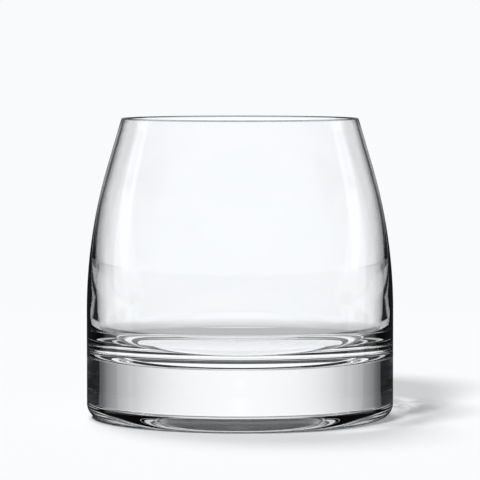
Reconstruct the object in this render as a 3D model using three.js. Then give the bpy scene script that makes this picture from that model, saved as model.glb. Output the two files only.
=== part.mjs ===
// Cognac tumbler of clear glass: a thin bowl that tapers to its rim, fused to a heavy solid base.
// Millimetres, +Z up along the axis of the glass, origin at the centre of the plane it stands on.
import * as THREE from 'three';

// Driving dimensions, outside
const height = 88;             // standing plane to the top of the rim
const maxDiameter = 90;        // straight lower side
const rimDiameter = 69.4;      // where the taper reaches the height of the rim
const shoulderHeight = 53;     // where straight side and taper would meet in a corner
const shoulderRadius = 150;    // rounding of that corner
const heelRadius = 4.3;        // rounding between the side and the standing ring

// Driving dimensions, inside
const rimWall = 0.9;           // wall at the rim, square to the taper
const shoulderWall = 1.3;      // wall at the shoulder, between the two corners
const footWall = 2.9;          // wall at the foot of the cavity, where its knuckle is upright
const innerShoulderRadius = 100; // rounding of the cavity's corner at the shoulder
const floorHeight = 16.5;      // standing plane to the lowest point of the cavity
const floorCrown = 1000;       // radius of the shallow dish of the cavity floor
const knuckleRadius = 12;      // rounding between the cavity floor and its side

// Driving dimensions, base
const floorWall = 4.5;         // glass between the cavity floor and the plane where bowl and base fuse
const standingRing = 1.2;      // flat width of the ring that the glass stands on
const puntRise = 4.4;          // depth of the hollow inside that ring
const puntFillet = 2;          // rounding at the foot and at the top of the hollow's wall

// Steps of the faceted surface
const turnSteps = 64;
const heelSteps = 5;
const shoulderSteps = 9;
const rimSteps = 3;            // each side of the top
const knuckleSteps = 8;
const dishSteps = 4;
const filletSteps = 4;

// Values that follow from the driving dimensions
const outerRadius = maxDiameter / 2;
const fuseHeight = floorHeight - floorWall;
const taperAngle = Math.atan2(outerRadius - rimDiameter / 2, height - shoulderHeight);
const taperSlope = Math.tan(taperAngle);
const rimRadius = rimWall / 2;
const quarterTurn = Math.PI / 2;

// Points of an arc in the plane of radius and height. Angles start straight down and turn outwards.
function arc(centreRadius, centreHeight, radius, from, to, steps) {
  const points = [];
  for (let step = 0; step <= steps; step += 1) {
    const angle = from + ((to - from) * step) / steps;
    const r = centreRadius + radius * Math.sin(angle);
    const z = centreHeight - radius * Math.cos(angle);
    points.push(new THREE.Vector2(Math.max(r, 0), z));
  }
  return points;
}

// Arc that rounds a corner of an outline, from the point below it towards the point above it.
// The rounding is kept within the straight stretches on both sides of the corner.
function fillet(below, corner, above, fullRadius) {
  const from = Math.atan2(corner.y - below.y, corner.x - below.x);
  const to = Math.atan2(above.y - corner.y, above.x - corner.x);
  const halfTurn = Math.tan((to - from) / 2);
  const room = Math.min(corner.distanceTo(below), corner.distanceTo(above));
  const tangent = Math.min(fullRadius * halfTurn, room);
  const radius = tangent / halfTurn;
  const startRadius = corner.x - tangent * Math.cos(from);
  const startHeight = corner.y - tangent * Math.sin(from);
  return arc(
    startRadius - radius * Math.sin(from), startHeight + radius * Math.cos(from), radius,
    from, to, shoulderSteps,
  );
}

// Half round of the fire-polished rim, from the outside of the taper over the top to its inside.
function rimArc() {
  const centreHeight = height - rimRadius;
  const taperRadius = outerRadius - (centreHeight - shoulderHeight) * taperSlope;
  const centreRadius = taperRadius - rimRadius / Math.cos(taperAngle);
  const outside = quarterTurn + taperAngle;
  const inside = outside + Math.PI;
  const rise = arc(centreRadius, centreHeight, rimRadius, outside, Math.PI, rimSteps);
  const fall = arc(centreRadius, centreHeight, rimRadius, Math.PI, inside, rimSteps);
  return [...rise, ...fall.slice(1)];
}

// Cavity from its side down to the axis: the knuckle, which the side touches, then the floor's dish.
function cavityFloor(innerCorner) {
  const knuckleReach = outerRadius - footWall - knuckleRadius;
  const crownReach = floorCrown - knuckleRadius;
  const knuckleHeight = floorHeight + floorCrown - Math.sqrt(crownReach ** 2 - knuckleReach ** 2);
  const outwards = innerCorner.x - knuckleReach;
  const upwards = innerCorner.y - knuckleHeight;
  const towardsCorner = Math.atan2(outwards, -upwards);
  const sideAngle = towardsCorner - Math.acos(knuckleRadius / Math.hypot(outwards, upwards));
  const meetAngle = Math.asin(knuckleReach / crownReach);
  const knuckle = arc(knuckleReach, knuckleHeight, knuckleRadius, sideAngle, meetAngle, knuckleSteps);
  const dish = arc(0, floorHeight + floorCrown, floorCrown, meetAngle, 0, dishSteps);
  return [...knuckle, ...dish.slice(1)];
}

// Hollow under the base: its flat top from the axis, then its wall down to the standing ring.
function puntOutline() {
  const radius = Math.min(puntFillet, puntRise / 2);
  const footRadius = outerRadius - heelRadius - standingRing;
  const wallRadius = footRadius - radius;
  return [
    new THREE.Vector2(0, puntRise),
    ...arc(wallRadius - radius, puntRise - radius, radius, Math.PI, quarterTurn, filletSteps),
    ...arc(footRadius, radius, radius, -quarterTurn, 0, filletSteps),
  ];
}

// Outline of the bowl, counter-clockwise from the axis on the fusing plane.
function bowlProfile() {
  const foot = new THREE.Vector2(outerRadius, fuseHeight);
  const outerCorner = new THREE.Vector2(outerRadius, shoulderHeight);
  const innerCorner = new THREE.Vector2(outerRadius - shoulderWall, shoulderHeight);
  const rim = rimArc();
  const cavity = cavityFloor(innerCorner);
  return [
    new THREE.Vector2(0, fuseHeight),
    foot,
    ...fillet(foot, outerCorner, rim[0], shoulderRadius),
    ...rim,
    ...fillet(cavity[0], innerCorner, rim[rim.length - 1], innerShoulderRadius).reverse(),
    ...cavity,
  ];
}

// Outline of the base, counter-clockwise from the axis in the punt.
function baseProfile() {
  return [
    ...puntOutline(),
    ...arc(outerRadius - heelRadius, heelRadius, heelRadius, 0, quarterTurn, heelSteps),
    new THREE.Vector2(outerRadius, fuseHeight),
    new THREE.Vector2(0, fuseHeight),
  ];
}

// Solid of revolution about +Z.
function turned(name, profile, material) {
  const geometry = new THREE.LatheGeometry(profile, turnSteps);
  geometry.rotateX(quarterTurn);
  const mesh = new THREE.Mesh(geometry, material);
  mesh.name = name;
  return mesh;
}

// Clear, colourless glass with a polished surface.
function clearGlass(opacity) {
  return new THREE.MeshStandardMaterial({
    color: 0xf2f5f5, roughness: 0.03, metalness: 0, transparent: true, opacity,
  });
}

const glass = new THREE.Group();
glass.name = 'cognac_glass';
glass.add(turned('bowl', bowlProfile(), clearGlass(0.3)));
glass.add(turned('base', baseProfile(), clearGlass(0.45)));

export default glass;
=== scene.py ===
"""Cognac glass on a white stage: fine surfaces, finish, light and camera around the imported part."""
import math

import bpy
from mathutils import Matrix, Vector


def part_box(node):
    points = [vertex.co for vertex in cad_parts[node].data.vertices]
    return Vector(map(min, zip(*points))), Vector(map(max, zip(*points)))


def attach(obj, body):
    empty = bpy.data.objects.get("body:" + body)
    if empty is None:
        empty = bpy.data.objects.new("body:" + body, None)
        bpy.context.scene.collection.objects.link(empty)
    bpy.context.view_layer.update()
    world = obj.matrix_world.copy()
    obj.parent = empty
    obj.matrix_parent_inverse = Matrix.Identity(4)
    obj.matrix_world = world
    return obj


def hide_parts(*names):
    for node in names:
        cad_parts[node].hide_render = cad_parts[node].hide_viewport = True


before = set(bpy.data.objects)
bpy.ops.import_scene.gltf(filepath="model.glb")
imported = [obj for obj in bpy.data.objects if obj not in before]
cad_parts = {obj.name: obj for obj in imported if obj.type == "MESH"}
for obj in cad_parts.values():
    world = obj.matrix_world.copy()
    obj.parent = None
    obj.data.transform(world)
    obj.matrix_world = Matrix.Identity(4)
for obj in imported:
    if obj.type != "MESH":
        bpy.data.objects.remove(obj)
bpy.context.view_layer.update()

MM = 0.001

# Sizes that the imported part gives
bowl_low, bowl_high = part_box("bowl")
base_low, base_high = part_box("base")
OUTER_RADIUS = bowl_high[0]
HEIGHT = bowl_high[2]
FUSE_HEIGHT = base_high[2]

# Sizes of the part that its box doesn't give
RIM_DIAMETER = 69.4 * MM
SHOULDER_HEIGHT = 53.0 * MM
SHOULDER_RADIUS = 150.0 * MM
HEEL_RADIUS = 4.3 * MM
RIM_WALL = 0.9 * MM
SHOULDER_WALL = 1.3 * MM
FOOT_WALL = 2.9 * MM
INNER_SHOULDER_RADIUS = 100.0 * MM
FLOOR_WALL = 4.5 * MM
FLOOR_CROWN = 1000.0 * MM
KNUCKLE_RADIUS = 12.0 * MM
STANDING_RING = 1.2 * MM
PUNT_RISE = 4.4 * MM
PUNT_FILLET = 2.0 * MM

# Fineness of the turned surfaces
TURN_STEPS = 320
RING_STEP = 0.8 * MM
STRAIGHT_STEP = 4 * RING_STEP
RIM_STEPS = 8
KNUCKLE_STEPS = 24
PUNT_STEPS = 12
HEEL_STEPS = 16
SAME_POINT = 1e-7

# Camera
CAMERA_DISTANCE = 1000.0 * MM
CAMERA_HEIGHT = 109.06 * MM
AIM_HEIGHT = 52.18 * MM
LENS = 255.87
SENSOR = 36.0
CLIP_END = 50.0

# Light paths
BOUNCES = 5
CLEAR_BOUNCES = 32

# Every pair below is a soft edge: where it starts and where it is full. TURN pairs are angles in degrees,
# from straight behind the glass round to either side. RISE pairs are elevations in degrees. UP pairs are
# heights of a direction of length 1. The others are lengths or values of a texture.

# Glass
GLASS_INDEX = 1.5
GLASS_CLEAR = (0.99, 0.993, 0.994)
GLASS_STRIA = (0.975, 0.982, 0.985)
STRIA_STRETCH = (1.0, 1.0, 6.0)
STRIA_SCALE = 60.0
STRIA_DETAIL = 3.0
# Painted dark line at the lip: a darker tint that stands in for the rim's dark edge
LIP_PAINTED_DARK = (0.35, 0.36, 0.37)
LIP_DEPTH = 0.35 * MM
LIP_EDGE = (HEIGHT - 1.5 * LIP_DEPTH, HEIGHT - LIP_DEPTH)
SCRATCH_SCALE = 2500.0
SCRATCH_DETAIL = 4.0
SCRATCH_EDGE = (0.4, 0.65)
WEAR_EDGE = (0.5 * MM, 0.0)
WEAR_ROUGHNESS = 0.3

# Floor
WHITE = (0.9473, 0.956, 0.9734)
FLOOR_SIZE = 8.0
FLOOR_FADE = (0.25, 0.6)

# Painted caustic light on the floor: emission where the glass would gather light
GLOW_LEVEL = 0.48
GLOW_TIP = 64.0 * MM
GLOW_MIDDLE = 36.0 * MM
GLOW_SPREAD = 1.6
GLOW_TIP_HALF = 4.0 * MM
GLOW_LEAST_HALF = 1.0 * MM
GLOW_ACROSS = (1.0, 0.3)
GLOW_TIP_EDGE = (0.0, 14.0 * MM)
GLOW_GLASS_EDGE = (40.0 * MM, 25.0 * MM)
STREAK_STRETCH = (90.0, 45.0, 1.0)
STREAK_SCALE = 1.0
STREAK_DETAIL = 2.0
STREAK_DISTORTION = 2.5
STREAK_EDGE = (0.35, 0.62)
STREAK_LOW = 0.35
HALO_LEVEL = 0.3
HALO_EDGE = (55.0 * MM, 47.0 * MM)
HALO_SIDE = (20.0 * MM, 40.0 * MM)

# Lamps: share of the floor's light, azimuth, elevation and angle across, in degrees
LAMPS = {
    "key": (0.32, -60.0, 67.0, 11.0),
    "fill": (0.36, -22.0, 42.0, 10.0),
    "rear": (0.3, -160.0, 63.0, 20.0),
}

# Card behind the glass
CARD_DISTANCE = 165.0 * MM
CARD_HALF_WIDTH = 260.0 * MM
CARD_LOW = -60.0 * MM
CARD_HIGH = 86.0 * MM
CARD_FALLOFF = 71.0 * MM
CARD_POWER = 2.6
CARD_LEVEL = 1.06
CARD_END = (171.0 * MM, 165.0 * MM)
FIELD_FALL = (84.0 * MM, 54.0 * MM)
FIELD_END = (94.0 * MM, 90.0 * MM)
FIELD_LEVEL = 1.1
FIELD_EDGE = 0.5

# Collar round the glass, and the apron that slopes down from its edge
COLLAR_HEIGHT = 18.0 * MM
COLLAR_RADIUS = 172.0 * MM
COLLAR_GAP = 0.04 * MM
COLLAR_FALL = (46.0 * MM, 73.0 * MM)
COLLAR_BACK = 1.06
COLLAR_LEVEL = 0.68
# Painted shade on the collar close to the glass
COLLAR_CLOSE = (59.0 * MM, OUTER_RADIUS)
APRON_RADIUS = 300.0 * MM
APRON_HEIGHT = -6.0 * MM
WING_LEVEL = 0.02
WING_RADIUS = (72.0 * MM, 75.0 * MM)
WING_IN = (69.0 * MM, 79.0 * MM)
WING_OUT = (96.0 * MM, 84.0 * MM)
WING_IN_TURN = (55.0, 61.0)
WING_OUT_TURN = (88.0, 74.0)
LEAST_WAY = 8.0 * MM
QUARTER_LEVEL = 0.2
QUARTER_IN_TURN = (104.0, 116.0)
QUARTER_OUT_TURN = (152.0, 140.0)

# Skirt below the collar
SKIRT_LOW = -15.0 * MM
SKIRT_START = math.radians(45.0)
SKIRT_LIGHT = 0.7
SKIRT_FRONT = 0.06
SKIRT_SIDE_TURN = (76.0, 80.0)
SKIRT_QUARTER_TURN = (100.0, 106.0)
SKIRT_FRONT_TURN = (140.0, 152.0)

# Stand-in for the table under the glass: painted light, with a ring of painted shade
UNDER_RADIUS = 44.0 * MM
UNDER_LIFT = 0.001 * MM
UNDER_MIDDLE = (28.0 * MM, 30.0 * MM)
UNDER_RIM = (38.0 * MM, 36.0 * MM)
UNDER_FRONT = (1.0 * MM, -4.0 * MM)
UNDER_LEVEL = 1.12
UNDER_SHADE = 0.05

# Corners round the turned stage pieces
DISC_STEPS = 64
BAND_STEPS = 96

# Studio round the stage
AMBIENT = 0.03
NOOK_LEVEL = 0.3
FLANK_LEVEL = 0.7
FLANK_TURN = (48.0, 68.0)
FRONT_LEVEL = 0.8
FRONT_TURN = (95.0, 118.0)
STRIP_LEVEL = 0.8
STRIP_LEAN = math.radians(38.0)
STRIP_IN_TURN = (70.5, 72.0)
STRIP_OUT_TURN = (90.0, 88.0)
STRIP_UP = (-0.16, -0.10)
MIRROR_LEVEL = 0.08
MIRROR_TURN = (64.0, 54.0)
MIRROR_UP = (0.06, -0.02)
MIRROR_BELOW_UP = (-0.17, -0.24)
CEILING_RISE = (36.0, 32.0)
OVER_MIDDLE = 0.07
OVER_SIDE = 0.36
OVER_RISE = (12.0, 18.0)
OVER_TURN = (76.0, 68.0)
OVER_SIDE_IN_TURN = (9.0, 24.0)
OVER_SIDE_OUT_TURN = (56.0, 44.0)
GAP_LEVEL = 0.0
GAP_IN_TURN = (18.0, 21.0)
GAP_OUT_TURN = (36.0, 32.0)
GAP_RISE = (24.0, 16.0)
PAPER_LEVEL = 0.5
PAPER_RISE = (-12.0, -16.0)
PAPER_TURN = (45.0, 35.0)
TABLE_LEVEL = 0.75
TABLE_RISE = (-14.0, -20.0)
TABLE_TURN = (35.0, 45.0)
ZENITH_LEVEL = 1.0
ZENITH_RISE = (45.0, 53.0)

FULL_TURN = 2 * math.pi
HALF_TURN = math.pi
QUARTER_TURN = math.pi / 2

# Values that follow
FLOOR_HEIGHT = FUSE_HEIGHT + FLOOR_WALL
TAPER_ANGLE = math.atan2(OUTER_RADIUS - RIM_DIAMETER / 2, HEIGHT - SHOULDER_HEIGHT)
TAPER_SLOPE = math.tan(TAPER_ANGLE)
KNUCKLE_REACH = OUTER_RADIUS - FOOT_WALL - KNUCKLE_RADIUS
CROWN_REACH = FLOOR_CROWN - KNUCKLE_RADIUS
KNUCKLE_HEIGHT = FLOOR_HEIGHT + FLOOR_CROWN - math.sqrt(CROWN_REACH ** 2 - KNUCKLE_REACH ** 2)


# Outlines of the glass, as points of radius and height

def arc(centre_radius, centre_height, radius, start, end, least_steps=4):
    """Points of an arc whose angle starts straight down and turns outwards."""
    steps = max(least_steps, math.ceil(abs(end - start) * radius / RING_STEP))
    points = []
    for step in range(steps + 1):
        angle = start + (end - start) * step / steps
        r = centre_radius + radius * math.sin(angle)
        z = centre_height - radius * math.cos(angle)
        points.append((max(r, 0.0), z))
    return points


def joined(*stretches):
    """One outline through all stretches, with rings added along its long straight parts."""
    corners = [point for stretch in stretches for point in stretch]
    points = [corners[0]]
    for corner in corners[1:]:
        last = points[-1]
        length = math.dist(last, corner)
        if length < SAME_POINT:
            continue
        steps = max(1, math.ceil(length / STRAIGHT_STEP))
        for step in range(1, steps + 1):
            share = step / steps
            points.append((last[0] + (corner[0] - last[0]) * share, last[1] + (corner[1] - last[1]) * share))
    return points


def fillet(below, corner, above, full_radius):
    """Arc that rounds an outline's corner, from the point below towards the point above."""
    start = math.atan2(corner[1] - below[1], corner[0] - below[0])
    end = math.atan2(above[1] - corner[1], above[0] - corner[0])
    half_turn = math.tan((end - start) / 2)
    room = min(math.dist(corner, below), math.dist(corner, above))
    tangent = min(full_radius * half_turn, room)
    radius = tangent / half_turn
    start_radius = corner[0] - tangent * math.cos(start)
    start_height = corner[1] - tangent * math.sin(start)
    centre_radius = start_radius - radius * math.sin(start)
    centre_height = start_height + radius * math.cos(start)
    return arc(centre_radius, centre_height, radius, start, end)


def rim():
    """Half round of the fire-polished rim, from outside over the top to inside."""
    radius = RIM_WALL / 2
    centre_height = HEIGHT - radius
    taper_radius = OUTER_RADIUS - (centre_height - SHOULDER_HEIGHT) * TAPER_SLOPE
    centre_radius = taper_radius - radius / math.cos(TAPER_ANGLE)
    outside = QUARTER_TURN + TAPER_ANGLE
    rise = arc(centre_radius, centre_height, radius, outside, HALF_TURN, RIM_STEPS)
    fall = arc(centre_radius, centre_height, radius, HALF_TURN, outside + HALF_TURN, RIM_STEPS)
    return rise + fall[1:]


def cavity_floor(inner_corner):
    """Cavity from its side down to the axis: the knuckle, which the side touches, then the floor's dish."""
    outwards = inner_corner[0] - KNUCKLE_REACH
    upwards = inner_corner[1] - KNUCKLE_HEIGHT
    towards_corner = math.atan2(outwards, -upwards)
    side_angle = towards_corner - math.acos(KNUCKLE_RADIUS / math.hypot(outwards, upwards))
    meet = math.asin(KNUCKLE_REACH / CROWN_REACH)
    knuckle = arc(KNUCKLE_REACH, KNUCKLE_HEIGHT, KNUCKLE_RADIUS, side_angle, meet, KNUCKLE_STEPS)
    dish = arc(0.0, FLOOR_HEIGHT + FLOOR_CROWN, FLOOR_CROWN, meet, 0.0)
    return knuckle + dish[1:]


def punt():
    """Hollow under the base: its flat top from the axis, then its wall down to the standing ring."""
    radius = min(PUNT_FILLET, PUNT_RISE / 2)
    foot_radius = OUTER_RADIUS - HEEL_RADIUS - STANDING_RING
    wall_radius = foot_radius - radius
    over = arc(wall_radius - radius, PUNT_RISE - radius, radius, HALF_TURN, QUARTER_TURN, PUNT_STEPS)
    under = arc(foot_radius, radius, radius, -QUARTER_TURN, 0.0, PUNT_STEPS)
    return [(0.0, PUNT_RISE)] + over + under


def bowl_outline():
    """Outline of the bowl: its fusing plane from the axis, then its skin round to the axis again."""
    foot = (OUTER_RADIUS, FUSE_HEIGHT)
    outer_corner = (OUTER_RADIUS, SHOULDER_HEIGHT)
    inner_corner = (OUTER_RADIUS - SHOULDER_WALL, SHOULDER_HEIGHT)
    rim_round = rim()
    cavity = cavity_floor(inner_corner)
    outside = fillet(foot, outer_corner, rim_round[0], SHOULDER_RADIUS)
    inside = fillet(cavity[0], inner_corner, rim_round[-1], INNER_SHOULDER_RADIUS)
    seam = joined([(0.0, FUSE_HEIGHT), foot])
    skin = joined([foot], outside, rim_round, inside[::-1], cavity)
    return seam, skin


def base_outline():
    """Outline of the base from the axis in the punt up its side, then the fusing plane back to the axis."""
    heel = arc(OUTER_RADIUS - HEEL_RADIUS, HEEL_RADIUS, HEEL_RADIUS, 0.0, QUARTER_TURN, HEEL_STEPS)
    skin = joined(punt(), heel, [(OUTER_RADIUS, FUSE_HEIGHT)])
    seam = joined([(OUTER_RADIUS, FUSE_HEIGHT), (0.0, FUSE_HEIGHT)])
    return skin, seam


def turned(name, stretches, slots):
    """Closed solid of revolution. Each stretch of its outline takes the material slot of the same place."""
    outline = []
    band_slots = []
    sharp_rings = set()
    for stretch, slot in zip(stretches, slots):
        if outline:
            sharp_rings.add(len(outline) - 1)
        fresh = stretch if not outline else stretch[1:]
        band_slots += [slot] * (len(stretch) - 1)
        outline += fresh
    vertices = []
    first = []
    for r, z in outline:
        first.append(len(vertices))
        turns = TURN_STEPS if r > 0 else 1
        for turn in range(turns):
            angle = FULL_TURN * turn / TURN_STEPS
            vertices.append((r * math.cos(angle), r * math.sin(angle), z))
    faces = []
    face_slots = []
    for band, slot in enumerate(band_slots):
        low = [first[band] + turn * (outline[band][0] > 0) for turn in range(TURN_STEPS)]
        high = [first[band + 1] + turn * (outline[band + 1][0] > 0) for turn in range(TURN_STEPS)]
        for turn in range(TURN_STEPS):
            after = (turn + 1) % TURN_STEPS
            corners = [low[turn], low[after], high[after], high[turn]]
            faces.append(list(dict.fromkeys(corners)))
            face_slots.append(slot)
    mesh = bpy.data.meshes.new(name)
    mesh.from_pydata(vertices, [], faces)
    mesh.polygons.foreach_set("material_index", face_slots)
    mesh.polygons.foreach_set("use_smooth", [True] * len(faces))
    ring_of = {first[ring] + turn: ring for ring in sharp_rings for turn in range(TURN_STEPS)}
    for edge in mesh.edges:
        a, b = edge.vertices
        if a in ring_of and ring_of.get(b) == ring_of[a]:
            edge.use_edge_sharp = True
    mesh.update()
    piece = bpy.data.objects.new(name, mesh)
    bpy.context.scene.collection.objects.link(piece)
    return piece


# Materials

class Graph:
    """Emptied node tree, with short ways to add the nodes that the looks need."""

    def __init__(self, tree):
        self.nodes = tree.nodes
        self.links = tree.links
        self.nodes.clear()

    def feed(self, socket, value):
        """Give an input the output of another node, or a plain value."""
        if isinstance(value, bpy.types.NodeSocket):
            self.links.new(value, socket)
        else:
            socket.default_value = value

    def math(self, operation, *values):
        """Math node on outputs or plain numbers."""
        node = self.nodes.new("ShaderNodeMath")
        node.operation = operation
        for socket, value in zip(node.inputs, values):
            self.feed(socket, value)
        return node.outputs[0]

    def product(self, first, *others):
        """All values multiplied."""
        for other in others:
            first = self.math("MULTIPLY", first, other)
        return first

    def ramp(self, value, start, end):
        """Smooth step from 0 at start to 1 at end."""
        node = self.nodes.new("ShaderNodeMapRange")
        node.interpolation_type = "SMOOTHSTEP"
        self.links.new(value, node.inputs["Value"])
        node.inputs["From Min"].default_value = start
        node.inputs["From Max"].default_value = end
        return node.outputs[0]

    def turn_ramp(self, azimuth, turn):
        """Smooth step over a pair of angles in degrees."""
        start, end = turn
        return self.ramp(azimuth, math.radians(start), math.radians(end))

    def rise_ramp(self, up, rise):
        """Smooth step over a pair of elevations in degrees, on the height of a direction."""
        start, end = rise
        return self.ramp(up, math.sin(math.radians(start)), math.sin(math.radians(end)))

    def blend(self, share, first, second):
        """Mix of two values."""
        node = self.nodes.new("ShaderNodeMix")
        node.data_type = "FLOAT"
        self.links.new(share, node.inputs[0])
        self.feed(node.inputs[2], first)
        self.feed(node.inputs[3], second)
        return node.outputs[0]

    def tint(self, share, first, second):
        """Mix of two colours."""
        node = self.nodes.new("ShaderNodeMix")
        node.data_type = "RGBA"
        self.links.new(share, node.inputs["Factor"])
        self.feed(node.inputs["A"], first)
        self.feed(node.inputs["B"], second)
        return node.outputs["Result"]

    def place(self):
        """Place on the object."""
        return self.nodes.new("ShaderNodeTexCoord").outputs["Object"]

    def position(self):
        """Place in the room."""
        return self.nodes.new("ShaderNodeNewGeometry").outputs["Position"]

    def split(self, vector):
        """The three parts of a vector."""
        node = self.nodes.new("ShaderNodeSeparateXYZ")
        self.links.new(vector, node.inputs[0])
        return node.outputs["X"], node.outputs["Y"], node.outputs["Z"]

    def length(self, vector):
        """Length of a vector."""
        node = self.nodes.new("ShaderNodeVectorMath")
        node.operation = "LENGTH"
        self.links.new(vector, node.inputs[0])
        return node.outputs["Value"]

    def stretched(self, vector, scale):
        """Vector with each part scaled."""
        node = self.nodes.new("ShaderNodeMapping")
        node.inputs["Scale"].default_value = scale
        self.links.new(vector, node.inputs["Vector"])
        return node.outputs[0]

    def noise(self, vector, scale, detail, distortion=0.0):
        """Cloudy values round a half."""
        node = self.nodes.new("ShaderNodeTexNoise")
        node.inputs["Scale"].default_value = scale
        node.inputs["Detail"].default_value = detail
        node.inputs["Distortion"].default_value = distortion
        self.links.new(vector, node.inputs["Vector"])
        return node.outputs[0]

    def light(self, strength):
        """Even white light."""
        node = self.nodes.new("ShaderNodeEmission")
        node.inputs["Color"].default_value = (*WHITE, 1.0)
        self.feed(node.inputs["Strength"], strength)
        return node.outputs[0]

    def clear(self):
        """Nothing to see."""
        return self.nodes.new("ShaderNodeBsdfTransparent").outputs[0]

    def mixed(self, share, first, second):
        """Mix of two surfaces."""
        node = self.nodes.new("ShaderNodeMixShader")
        for socket, value in zip(node.inputs, (share, first, second)):
            self.links.new(value, socket)
        return node.outputs[0]

    def both(self, first, second):
        """Sum of two surfaces."""
        node = self.nodes.new("ShaderNodeAddShader")
        self.links.new(first, node.inputs[0])
        self.links.new(second, node.inputs[1])
        return node.outputs[0]

    def show(self, surface):
        """Make this the surface of the material."""
        output = self.nodes.new("ShaderNodeOutputMaterial")
        self.links.new(surface, output.inputs["Surface"])

    def beside_and_behind(self):
        """Distance to either side of the glass, and distance behind its axis."""
        x, y, z = self.split(self.place())
        return self.math("ABSOLUTE", x), y


def new_material(name):
    """Material and its empty graph. Its light, if it has any, is only seen and isn't used as a lamp."""
    material = bpy.data.materials.new(name)
    material.use_nodes = True
    material.cycles.emission_sampling = "NONE"
    return material, Graph(material.node_tree)


def clear_glass(name):
    """Clear polished glass with faint striae, a painted dark line at the lip, and fine scratches on the ring
    that it stands on.
    """
    material, graph = new_material(name)
    place = graph.place()
    x, y, z = graph.split(place)
    glass = graph.nodes.new("ShaderNodeBsdfPrincipled")
    glass.inputs["IOR"].default_value = GLASS_INDEX
    glass.inputs["Transmission Weight"].default_value = 1.0
    # Striae: long thin clouds round the glass, a shade apart in clearness
    striae = graph.noise(graph.stretched(place, STRIA_STRETCH), STRIA_SCALE, STRIA_DETAIL)
    body = graph.tint(striae, (*GLASS_CLEAR, 1.0), (*GLASS_STRIA, 1.0))
    # Lip: painted dark line, a darker tint at the top of the rim that stands in for the dark edge the rim
    # shows
    painted_lip_line = graph.ramp(z, *LIP_EDGE)
    graph.feed(glass.inputs["Base Color"], graph.tint(painted_lip_line, body, (*LIP_PAINTED_DARK, 1.0)))
    # Scratches, only where the glass touches the table
    scratches = graph.noise(place, SCRATCH_SCALE, SCRATCH_DETAIL)
    worn = graph.product(graph.ramp(z, *WEAR_EDGE), graph.ramp(scratches, *SCRATCH_EDGE), WEAR_ROUGHNESS)
    graph.feed(glass.inputs["Roughness"], worn)
    graph.show(glass.outputs[0])
    return material


def fused_seam():
    """The plane where bowl and base are one glass: it shows nothing."""
    material, graph = new_material("fused_seam")
    graph.show(graph.clear())
    return material


def painted_caustic_light(graph, position):
    """Painted caustic light in the glass's shadow, as emission on the floor: a wedge with streaks, and a glow
    beside the heel.
    """
    x, y, z = graph.split(position)
    # Wedge that narrows to its tip
    room = graph.math("SUBTRACT", GLOW_TIP, x)
    half_width = graph.math("MULTIPLY_ADD", room, GLOW_SPREAD, GLOW_TIP_HALF)
    half_width = graph.math("MAXIMUM", half_width, GLOW_LEAST_HALF)
    offset = graph.math("ABSOLUTE", graph.math("SUBTRACT", y, GLOW_MIDDLE))
    across = graph.ramp(graph.math("DIVIDE", offset, half_width), *GLOW_ACROSS)
    wedge = graph.product(across, graph.ramp(room, *GLOW_TIP_EDGE), graph.ramp(room, *GLOW_GLASS_EDGE))
    # Streaks in it
    stretched = graph.stretched(position, STREAK_STRETCH)
    clouds = graph.noise(stretched, STREAK_SCALE, STREAK_DETAIL, STREAK_DISTORTION)
    streaks = graph.blend(graph.ramp(clouds, *STREAK_EDGE), STREAK_LOW, 1.0)
    painted_glow = graph.product(wedge, streaks, GLOW_LEVEL)
    # Painted glow that hugs the heel on the shadow's side
    painted_halo = graph.product(graph.ramp(graph.length(position), *HALO_EDGE), graph.ramp(x, *HALO_SIDE))
    return graph.math("MULTIPLY_ADD", painted_halo, HALO_LEVEL, painted_glow)


def floor_material():
    """Matt white floor with painted caustic light near the glass, running out into the plain background away
    from it.
    """
    material, graph = new_material("white_floor")
    position = graph.position()
    matt = graph.nodes.new("ShaderNodeBsdfDiffuse")
    matt.inputs["Color"].default_value = (*WHITE, 1.0)
    near = graph.both(matt.outputs[0], graph.light(painted_caustic_light(graph, position)))
    far = graph.ramp(graph.length(position), *FLOOR_FADE)
    graph.show(graph.mixed(far, near, graph.light(1.0)))
    return material


def low_field(graph, aside):
    """Light of the card behind the base, by the distance from the middle of the card."""
    steep = graph.math("POWER", graph.math("DIVIDE", aside, CARD_FALLOFF), CARD_POWER)
    light = graph.math("DIVIDE", CARD_LEVEL, graph.math("ADD", steep, 1.0))
    return graph.product(light, graph.ramp(aside, *CARD_END))


def card_material():
    """White card behind the glass, whose light falls off to the sides."""
    material, graph = new_material("white_card")
    x, y, z = graph.split(graph.place())
    aside = graph.math("ABSOLUTE", x)
    fall = graph.blend(graph.ramp(aside, *FIELD_FALL), FIELD_EDGE, FIELD_LEVEL)
    high_field = graph.product(fall, graph.ramp(aside, *FIELD_END))
    high = graph.math("GREATER_THAN", z, COLLAR_HEIGHT)
    graph.show(graph.light(graph.blend(high, low_field(graph, aside), high_field)))
    return material


def painted_table_material():
    """Stand-in for the table under the glass: painted light, bright, with a ring of painted shade in its
    front half.
    """
    material, graph = new_material("painted_table_under_glass")
    radius = graph.length(graph.place())
    aside, behind = graph.beside_and_behind()
    ring = graph.product(graph.ramp(radius, *UNDER_MIDDLE), graph.ramp(radius, *UNDER_RIM))
    shade = graph.product(ring, graph.ramp(behind, *UNDER_FRONT))
    graph.show(graph.light(graph.blend(shade, UNDER_LEVEL, UNDER_SHADE)))
    return material


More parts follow.
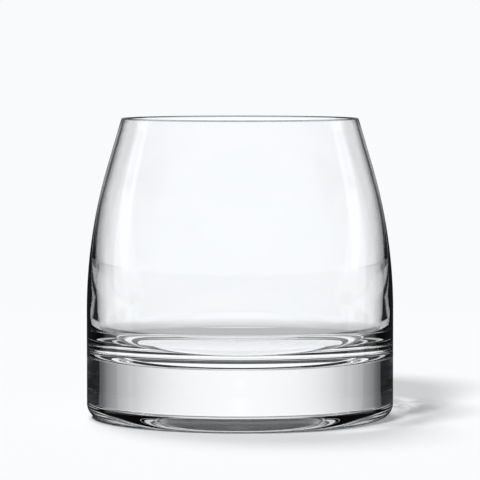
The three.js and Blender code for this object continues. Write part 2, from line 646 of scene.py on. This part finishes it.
def collar_top(graph, aside, azimuth):
    """Top of the collar, painted light: brightest behind the glass, dimmer close to it as painted shade, with
    a dark wing on each side.
    """
    radius = graph.length(graph.position())
    sheet = graph.blend(graph.ramp(aside, *COLLAR_FALL), COLLAR_BACK, COLLAR_LEVEL)
    # Painted shade close to the glass
    sheet = graph.blend(graph.ramp(radius, *COLLAR_CLOSE), sheet, PAPER_LEVEL)
    start = graph.math("MAXIMUM", graph.ramp(aside, *WING_IN), graph.turn_ramp(azimuth, WING_IN_TURN))
    end = graph.product(graph.turn_ramp(azimuth, WING_OUT_TURN), graph.ramp(aside, *WING_OUT))
    wing = graph.product(start, end, graph.ramp(radius, *WING_RADIUS))
    return graph.blend(wing, sheet, WING_LEVEL)


def collar_underside(graph, aside, behind, azimuth):
    """Underside of the collar, painted light: the card's light from the point of the card on the same line,
    and dim front quarters.
    """
    way = graph.math("MAXIMUM", graph.math("SUBTRACT", behind, OUTER_RADIUS), LEAST_WAY)
    on_card = graph.product(graph.math("DIVIDE", aside, way), CARD_DISTANCE - OUTER_RADIUS)
    start = graph.turn_ramp(azimuth, QUARTER_IN_TURN)
    quarter = graph.product(start, graph.turn_ramp(azimuth, QUARTER_OUT_TURN))
    return graph.blend(quarter, low_field(graph, on_card), QUARTER_LEVEL)


def collar_material():
    """Collar and apron round the glass: painted light, with different strengths on top and below."""
    material, graph = new_material("collar")
    aside, behind = graph.beside_and_behind()
    azimuth = graph.math("ARCTAN2", aside, behind)
    top = collar_top(graph, aside, azimuth)
    bottom = collar_underside(graph, aside, behind, azimuth)
    below = graph.nodes.new("ShaderNodeNewGeometry").outputs["Backfacing"]
    graph.show(graph.light(graph.blend(below, top, bottom)))
    return material


def skirt_material():
    """Wall below the collar: open where the card stands, then black, pale, dim, and dark in front."""
    material, graph = new_material("skirt")
    azimuth = graph.math("ARCTAN2", *graph.beside_and_behind())
    strength = graph.product(graph.turn_ramp(azimuth, SKIRT_SIDE_TURN), SKIRT_LIGHT)
    strength = graph.blend(graph.turn_ramp(azimuth, SKIRT_QUARTER_TURN), strength, QUARTER_LEVEL)
    strength = graph.blend(graph.turn_ramp(azimuth, SKIRT_FRONT_TURN), strength, SKIRT_FRONT)
    solid = graph.math("GREATER_THAN", azimuth, SKIRT_START)
    graph.show(graph.mixed(solid, graph.clear(), graph.light(strength)))
    return material


# Pieces

def glass_pieces():
    """Bowl and base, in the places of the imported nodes."""
    seam = fused_seam()
    bowl_seam, bowl_skin = bowl_outline()
    base_skin, base_seam = base_outline()
    bowl = turned("glass_bowl", [bowl_seam, bowl_skin], [1, 0])
    base = turned("glass_base", [base_skin, base_seam], [0, 1])
    for piece, node, slot in ((bowl, "bowl", "bowl_glass"), (base, "base", "base_glass")):
        piece.data.materials.append(clear_glass(slot))
        piece.data.materials.append(seam)
        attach(piece, "root")
        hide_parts(node)


# Stage

def stage_object(name, vertices, faces, material):
    """Piece of the stage."""
    mesh = bpy.data.meshes.new(name)
    mesh.from_pydata(vertices, [], faces)
    mesh.materials.append(material)
    sheet = bpy.data.objects.new(name, mesh)
    bpy.context.scene.collection.objects.link(sheet)
    return sheet


def sheet_object(name, corners, material):
    """Flat piece of the stage."""
    return stage_object(name, corners, [tuple(range(len(corners)))], material)


def circle(radius, height, steps):
    """Points round the axis of the glass."""
    angles = [FULL_TURN * step / steps for step in range(steps)]
    return [(radius * math.cos(angle), radius * math.sin(angle), height) for angle in angles]


def ring_object(name, outer, inner, material):
    """Turned piece of the stage between two rings of radius and height."""
    vertices = circle(*outer, BAND_STEPS) + circle(*inner, BAND_STEPS)
    faces = []
    for step in range(BAND_STEPS):
        after = (step + 1) % BAND_STEPS
        faces.append((step, after, BAND_STEPS + after, BAND_STEPS + step))
    return stage_object(name, vertices, faces, material)


def stage_floor():
    """Floor that the camera sees with the shadow of the glass on it."""
    half = FLOOR_SIZE / 2
    corners = [(-half, -half, 0.0), (half, -half, 0.0), (half, half, 0.0), (-half, half, 0.0)]
    floor = sheet_object("floor", corners, floor_material())
    floor.visible_glossy = False
    floor.visible_transmission = False


def stage_cards():
    """Cards round the glass, which are seen only through the glass."""
    corners = [
        (-CARD_HALF_WIDTH, CARD_DISTANCE, CARD_LOW),
        (CARD_HALF_WIDTH, CARD_DISTANCE, CARD_LOW),
        (CARD_HALF_WIDTH, CARD_DISTANCE, CARD_HIGH),
        (-CARD_HALF_WIDTH, CARD_DISTANCE, CARD_HIGH),
    ]
    card = sheet_object("back_card", corners, card_material())
    under = sheet_object("painted_table_under_glass", circle(UNDER_RADIUS, 0.0, DISC_STEPS), painted_table_material())
    under.location.z = UNDER_LIFT
    foot = (OUTER_RADIUS + COLLAR_GAP, COLLAR_HEIGHT)
    edge = (COLLAR_RADIUS, COLLAR_HEIGHT)
    around = collar_material()
    collar = ring_object("collar", edge, foot, around)
    apron = ring_object("apron", (APRON_RADIUS, APRON_HEIGHT), edge, around)
    skirt = ring_object("skirt", (COLLAR_RADIUS, SKIRT_LOW), edge, skirt_material())
    for sheet in (card, under, collar, apron, skirt):
        sheet.visible_camera = False
        sheet.visible_diffuse = False
        sheet.visible_glossy = False
        sheet.visible_shadow = False


def pale_studio(graph, azimuth, up):
    """Pale studio, dimmer beside the card, brighter in front, with a leaning strip of light on each side."""
    studio = graph.blend(graph.turn_ramp(azimuth, FLANK_TURN), NOOK_LEVEL, FLANK_LEVEL)
    studio = graph.blend(graph.turn_ramp(azimuth, FRONT_TURN), studio, FRONT_LEVEL)
    lean = graph.math("MULTIPLY_ADD", up, STRIP_LEAN, azimuth)
    strip = graph.product(graph.turn_ramp(lean, STRIP_IN_TURN), graph.turn_ramp(lean, STRIP_OUT_TURN))
    strip = graph.product(strip, graph.ramp(up, *STRIP_UP))
    return graph.math("MULTIPLY_ADD", strip, STRIP_LEVEL, studio)


def mirrored_studio(graph, studio, azimuth, up):
    """The studio in reflections: dark close behind the glass at table height, and dark below."""
    beside = graph.product(graph.turn_ramp(azimuth, MIRROR_TURN), graph.ramp(up, *MIRROR_UP))
    dim = graph.math("MAXIMUM", beside, graph.ramp(up, *MIRROR_BELOW_UP))
    return graph.product(studio, graph.blend(dim, 1.0, MIRROR_LEVEL))


def refracted_studio(graph, studio, azimuth, up):
    """The studio through the glass: dark overhead and beside the card, white straight up and below."""
    refracted = graph.product(studio, graph.rise_ramp(up, CEILING_RISE))
    over = graph.product(graph.rise_ramp(up, OVER_RISE), graph.turn_ramp(azimuth, OVER_TURN))
    upper = graph.blend(graph.turn_ramp(azimuth, OVER_SIDE_IN_TURN), OVER_MIDDLE, OVER_SIDE)
    upper = graph.product(upper, graph.turn_ramp(azimuth, OVER_SIDE_OUT_TURN))
    refracted = graph.blend(over, refracted, upper)
    gap = graph.product(graph.turn_ramp(azimuth, GAP_IN_TURN), graph.turn_ramp(azimuth, GAP_OUT_TURN))
    gap = graph.product(gap, graph.rise_ramp(up, GAP_RISE))
    refracted = graph.blend(gap, refracted, GAP_LEVEL)
    paper = graph.product(graph.rise_ramp(up, PAPER_RISE), graph.turn_ramp(azimuth, PAPER_TURN), PAPER_LEVEL)
    table = graph.product(graph.rise_ramp(up, TABLE_RISE), graph.turn_ramp(azimuth, TABLE_TURN))
    white = graph.math("MULTIPLY_ADD", table, TABLE_LEVEL, paper)
    white = graph.math("MULTIPLY_ADD", graph.rise_ramp(up, ZENITH_RISE), ZENITH_LEVEL, white)
    return graph.math("MAXIMUM", refracted, white)


def world_light():
    """Plain background for the camera, even soft light for the floor, and the studio that the glass shows."""
    world = bpy.data.worlds.new("studio")
    bpy.context.scene.world = world
    world.use_nodes = True
    graph = Graph(world.node_tree)
    x, y, up = graph.split(graph.nodes.new("ShaderNodeTexCoord").outputs["Generated"])
    azimuth = graph.math("ARCTAN2", graph.math("ABSOLUTE", x), y)
    studio = pale_studio(graph, azimuth, up)
    # Joined by the kind of ray; what the floor gets through the glass is plain soft light
    path = graph.nodes.new("ShaderNodeLightPath").outputs
    bounced = graph.math("GREATER_THAN", path["Diffuse Depth"], 0.5)
    level = graph.blend(path["Is Glossy Ray"], AMBIENT, mirrored_studio(graph, studio, azimuth, up))
    level = graph.blend(path["Is Transmission Ray"], level, refracted_studio(graph, studio, azimuth, up))
    level = graph.blend(bounced, level, AMBIENT)
    level = graph.blend(path["Is Camera Ray"], level, 1.0)
    background = graph.nodes.new("ShaderNodeBackground")
    background.inputs["Color"].default_value = (*WHITE, 1.0)
    graph.feed(background.inputs["Strength"], level)
    output = graph.nodes.new("ShaderNodeOutputWorld")
    graph.feed(output.inputs["Surface"], background.outputs[0])
    world.cycles.sampling_method = "NONE"


def lamp(name, share, azimuth, elevation, angle):
    """Soft lamp that throws a shadow and gives its share of the floor's light. The glass doesn't show it."""
    light = bpy.data.lights.new(name, "SUN")
    light.energy = share * math.pi / math.sin(math.radians(elevation))
    light.angle = math.radians(angle)
    source = bpy.data.objects.new(name, light)
    source.rotation_euler = (QUARTER_TURN - math.radians(elevation), 0.0, math.radians(azimuth))
    bpy.context.scene.collection.objects.link(source)
    source.visible_glossy = False
    source.visible_transmission = False


def camera():
    """Long lens at the photograph's viewing angle."""
    data = bpy.data.cameras.new("camera")
    data.lens = LENS
    data.sensor_width = SENSOR
    data.clip_end = CLIP_END
    view = bpy.data.objects.new("camera", data)
    view.location = (0.0, -CAMERA_DISTANCE, CAMERA_HEIGHT)
    pitch = math.atan2(AIM_HEIGHT - CAMERA_HEIGHT, CAMERA_DISTANCE)
    view.rotation_euler = (QUARTER_TURN + pitch, 0.0, 0.0)
    bpy.context.scene.collection.objects.link(view)
    bpy.context.scene.camera = view


def render_settings():
    """Plain view transform, and few bounces, so that light trapped in the wall stays dark."""
    scene = bpy.context.scene
    scene.view_settings.view_transform = "Standard"
    scene.cycles.max_bounces = BOUNCES
    scene.cycles.transmission_bounces = BOUNCES
    scene.cycles.glossy_bounces = BOUNCES
    scene.cycles.transparent_max_bounces = CLEAR_BOUNCES


glass_pieces()
stage_floor()
stage_cards()
world_light()
for lamp_name, lamp_values in LAMPS.items():
    lamp(lamp_name, *lamp_values)
camera()
render_settings()
